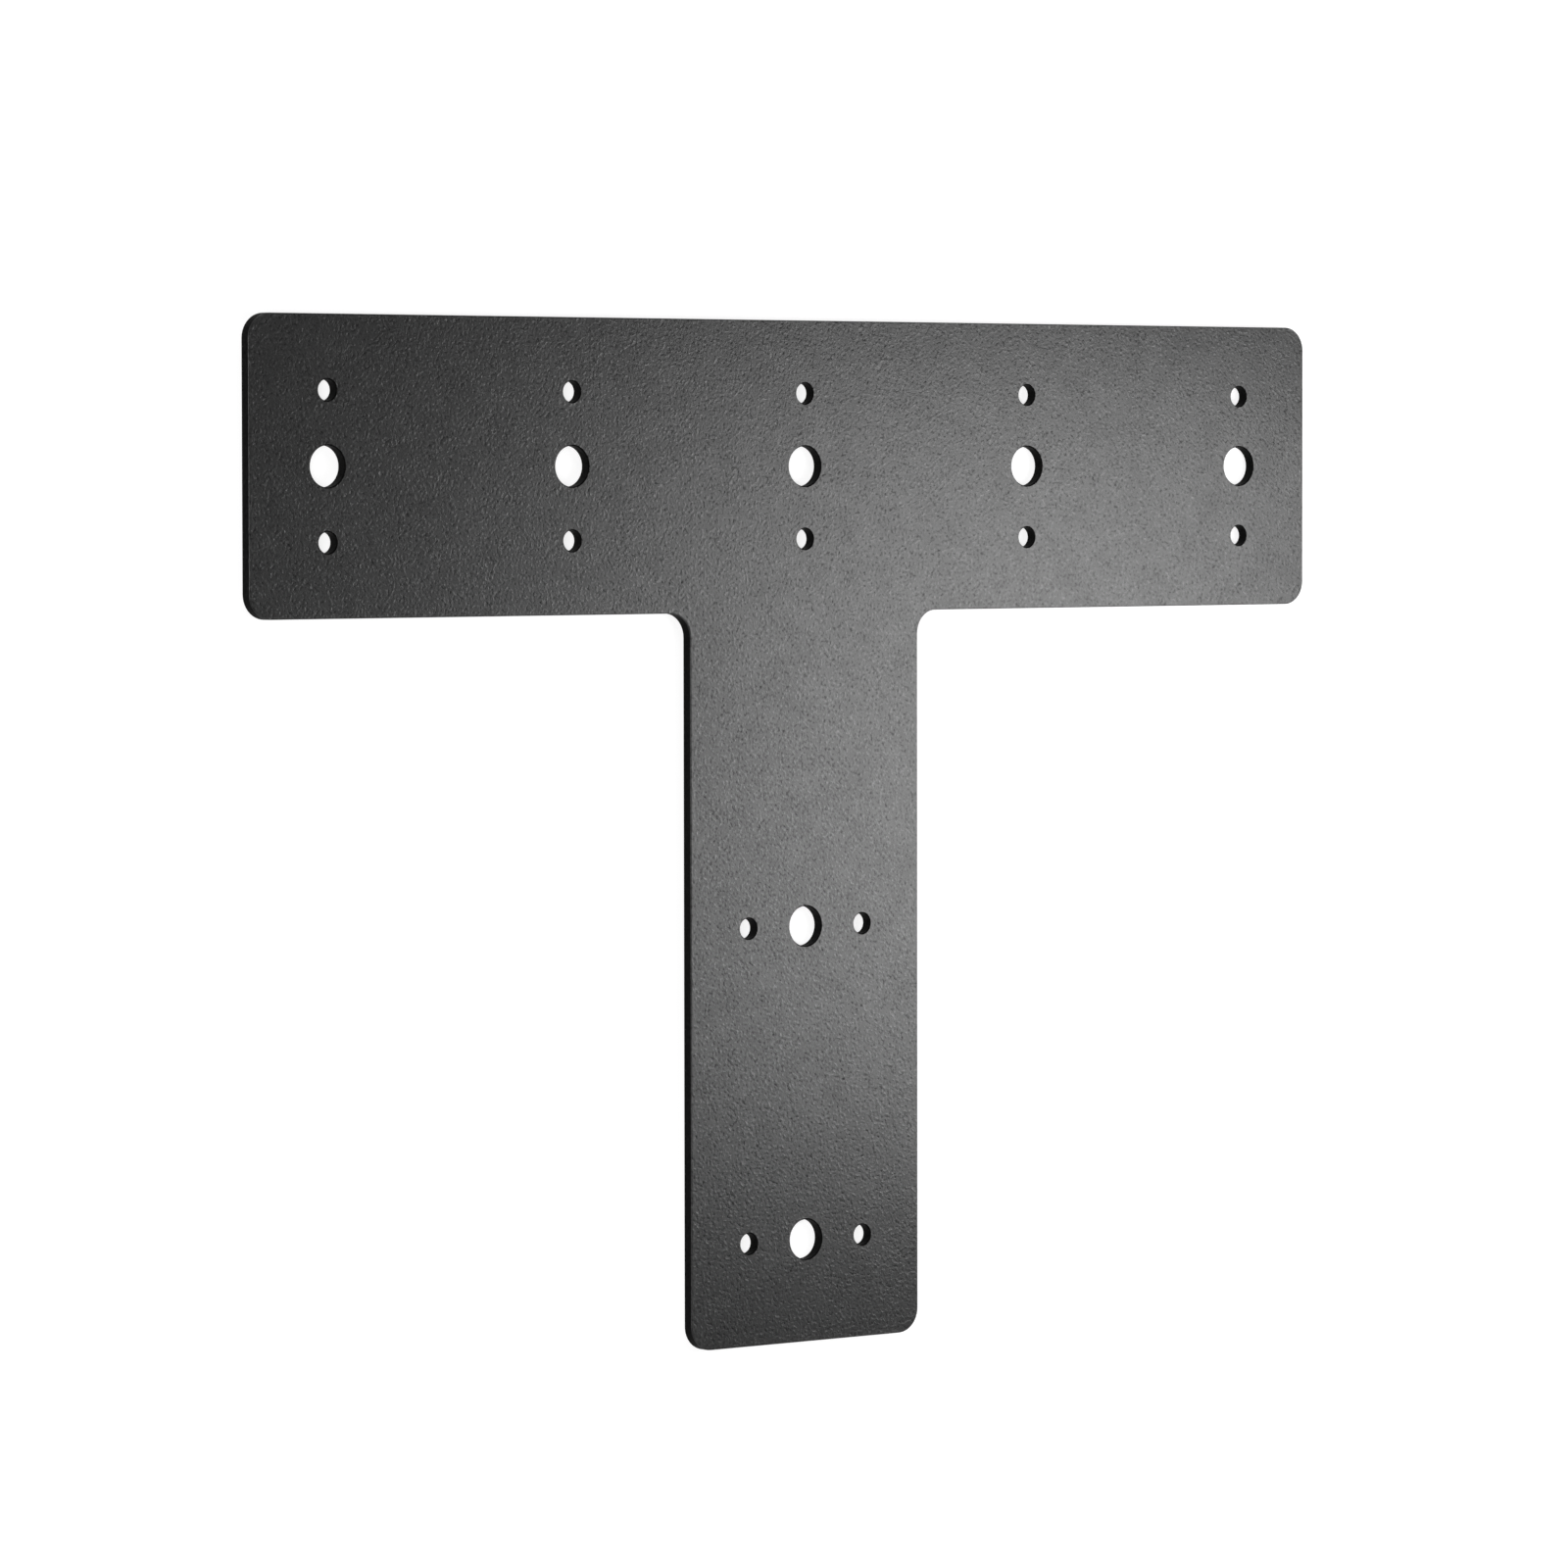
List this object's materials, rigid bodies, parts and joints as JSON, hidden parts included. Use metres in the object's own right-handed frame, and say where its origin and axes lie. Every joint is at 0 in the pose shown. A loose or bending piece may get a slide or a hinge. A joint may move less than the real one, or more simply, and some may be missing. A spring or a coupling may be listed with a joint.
{
  "type": "t plate bracket",
  "caption": "Flat T-shaped steel plate in textured black coating, with round bolt and screw holes, that ties a beam to the post below it.",
  "frame": {"origin": "on the axis of the middle bolt hole of the bar, at the plate's back face", "axes": "+X along the bar; +Y across the bar, away from the stem; +Z out of the front face"},
  "size_m": [0.3524, 0.2683, 0.0032],
  "materials": {
    "black_coating": "fine textured black powder coat, semi-matt"
  },
  "bodies": {
    "root": {"t_plate": "black_coating"}
  },
  "joints": []
}
